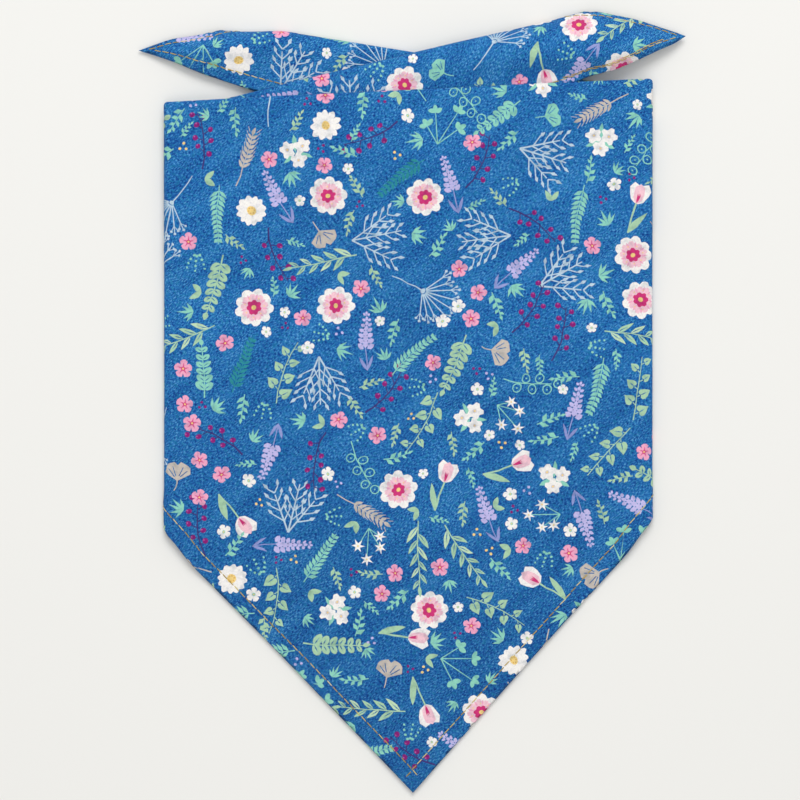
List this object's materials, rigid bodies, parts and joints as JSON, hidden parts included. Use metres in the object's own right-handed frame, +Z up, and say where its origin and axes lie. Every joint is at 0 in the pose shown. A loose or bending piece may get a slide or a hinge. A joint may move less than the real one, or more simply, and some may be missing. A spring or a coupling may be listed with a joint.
{
  "type": "pet bandana",
  "caption": "Triangular printed cotton pet bandana, hemmed and topstitched on every edge, folded for display and lying face up.",
  "frame": {"origin": "on the surface the bandana lies on, under the middle of its outline", "axes": "+Z up off the surface, +Y from the point towards the folded neck edge, +X to the right as seen from above"},
  "size_m": [0.2462, 0.3514, 0.0135],
  "materials": {
    "cotton_print": "blue chambray ground with a small printed botanical pattern on one side, paler on the other",
    "topstitch_thread": "golden brown cotton sewing thread"
  },
  "bodies": {
    "root": {"bandana_cloth": "cotton_print"}
  },
  "joints": []
}
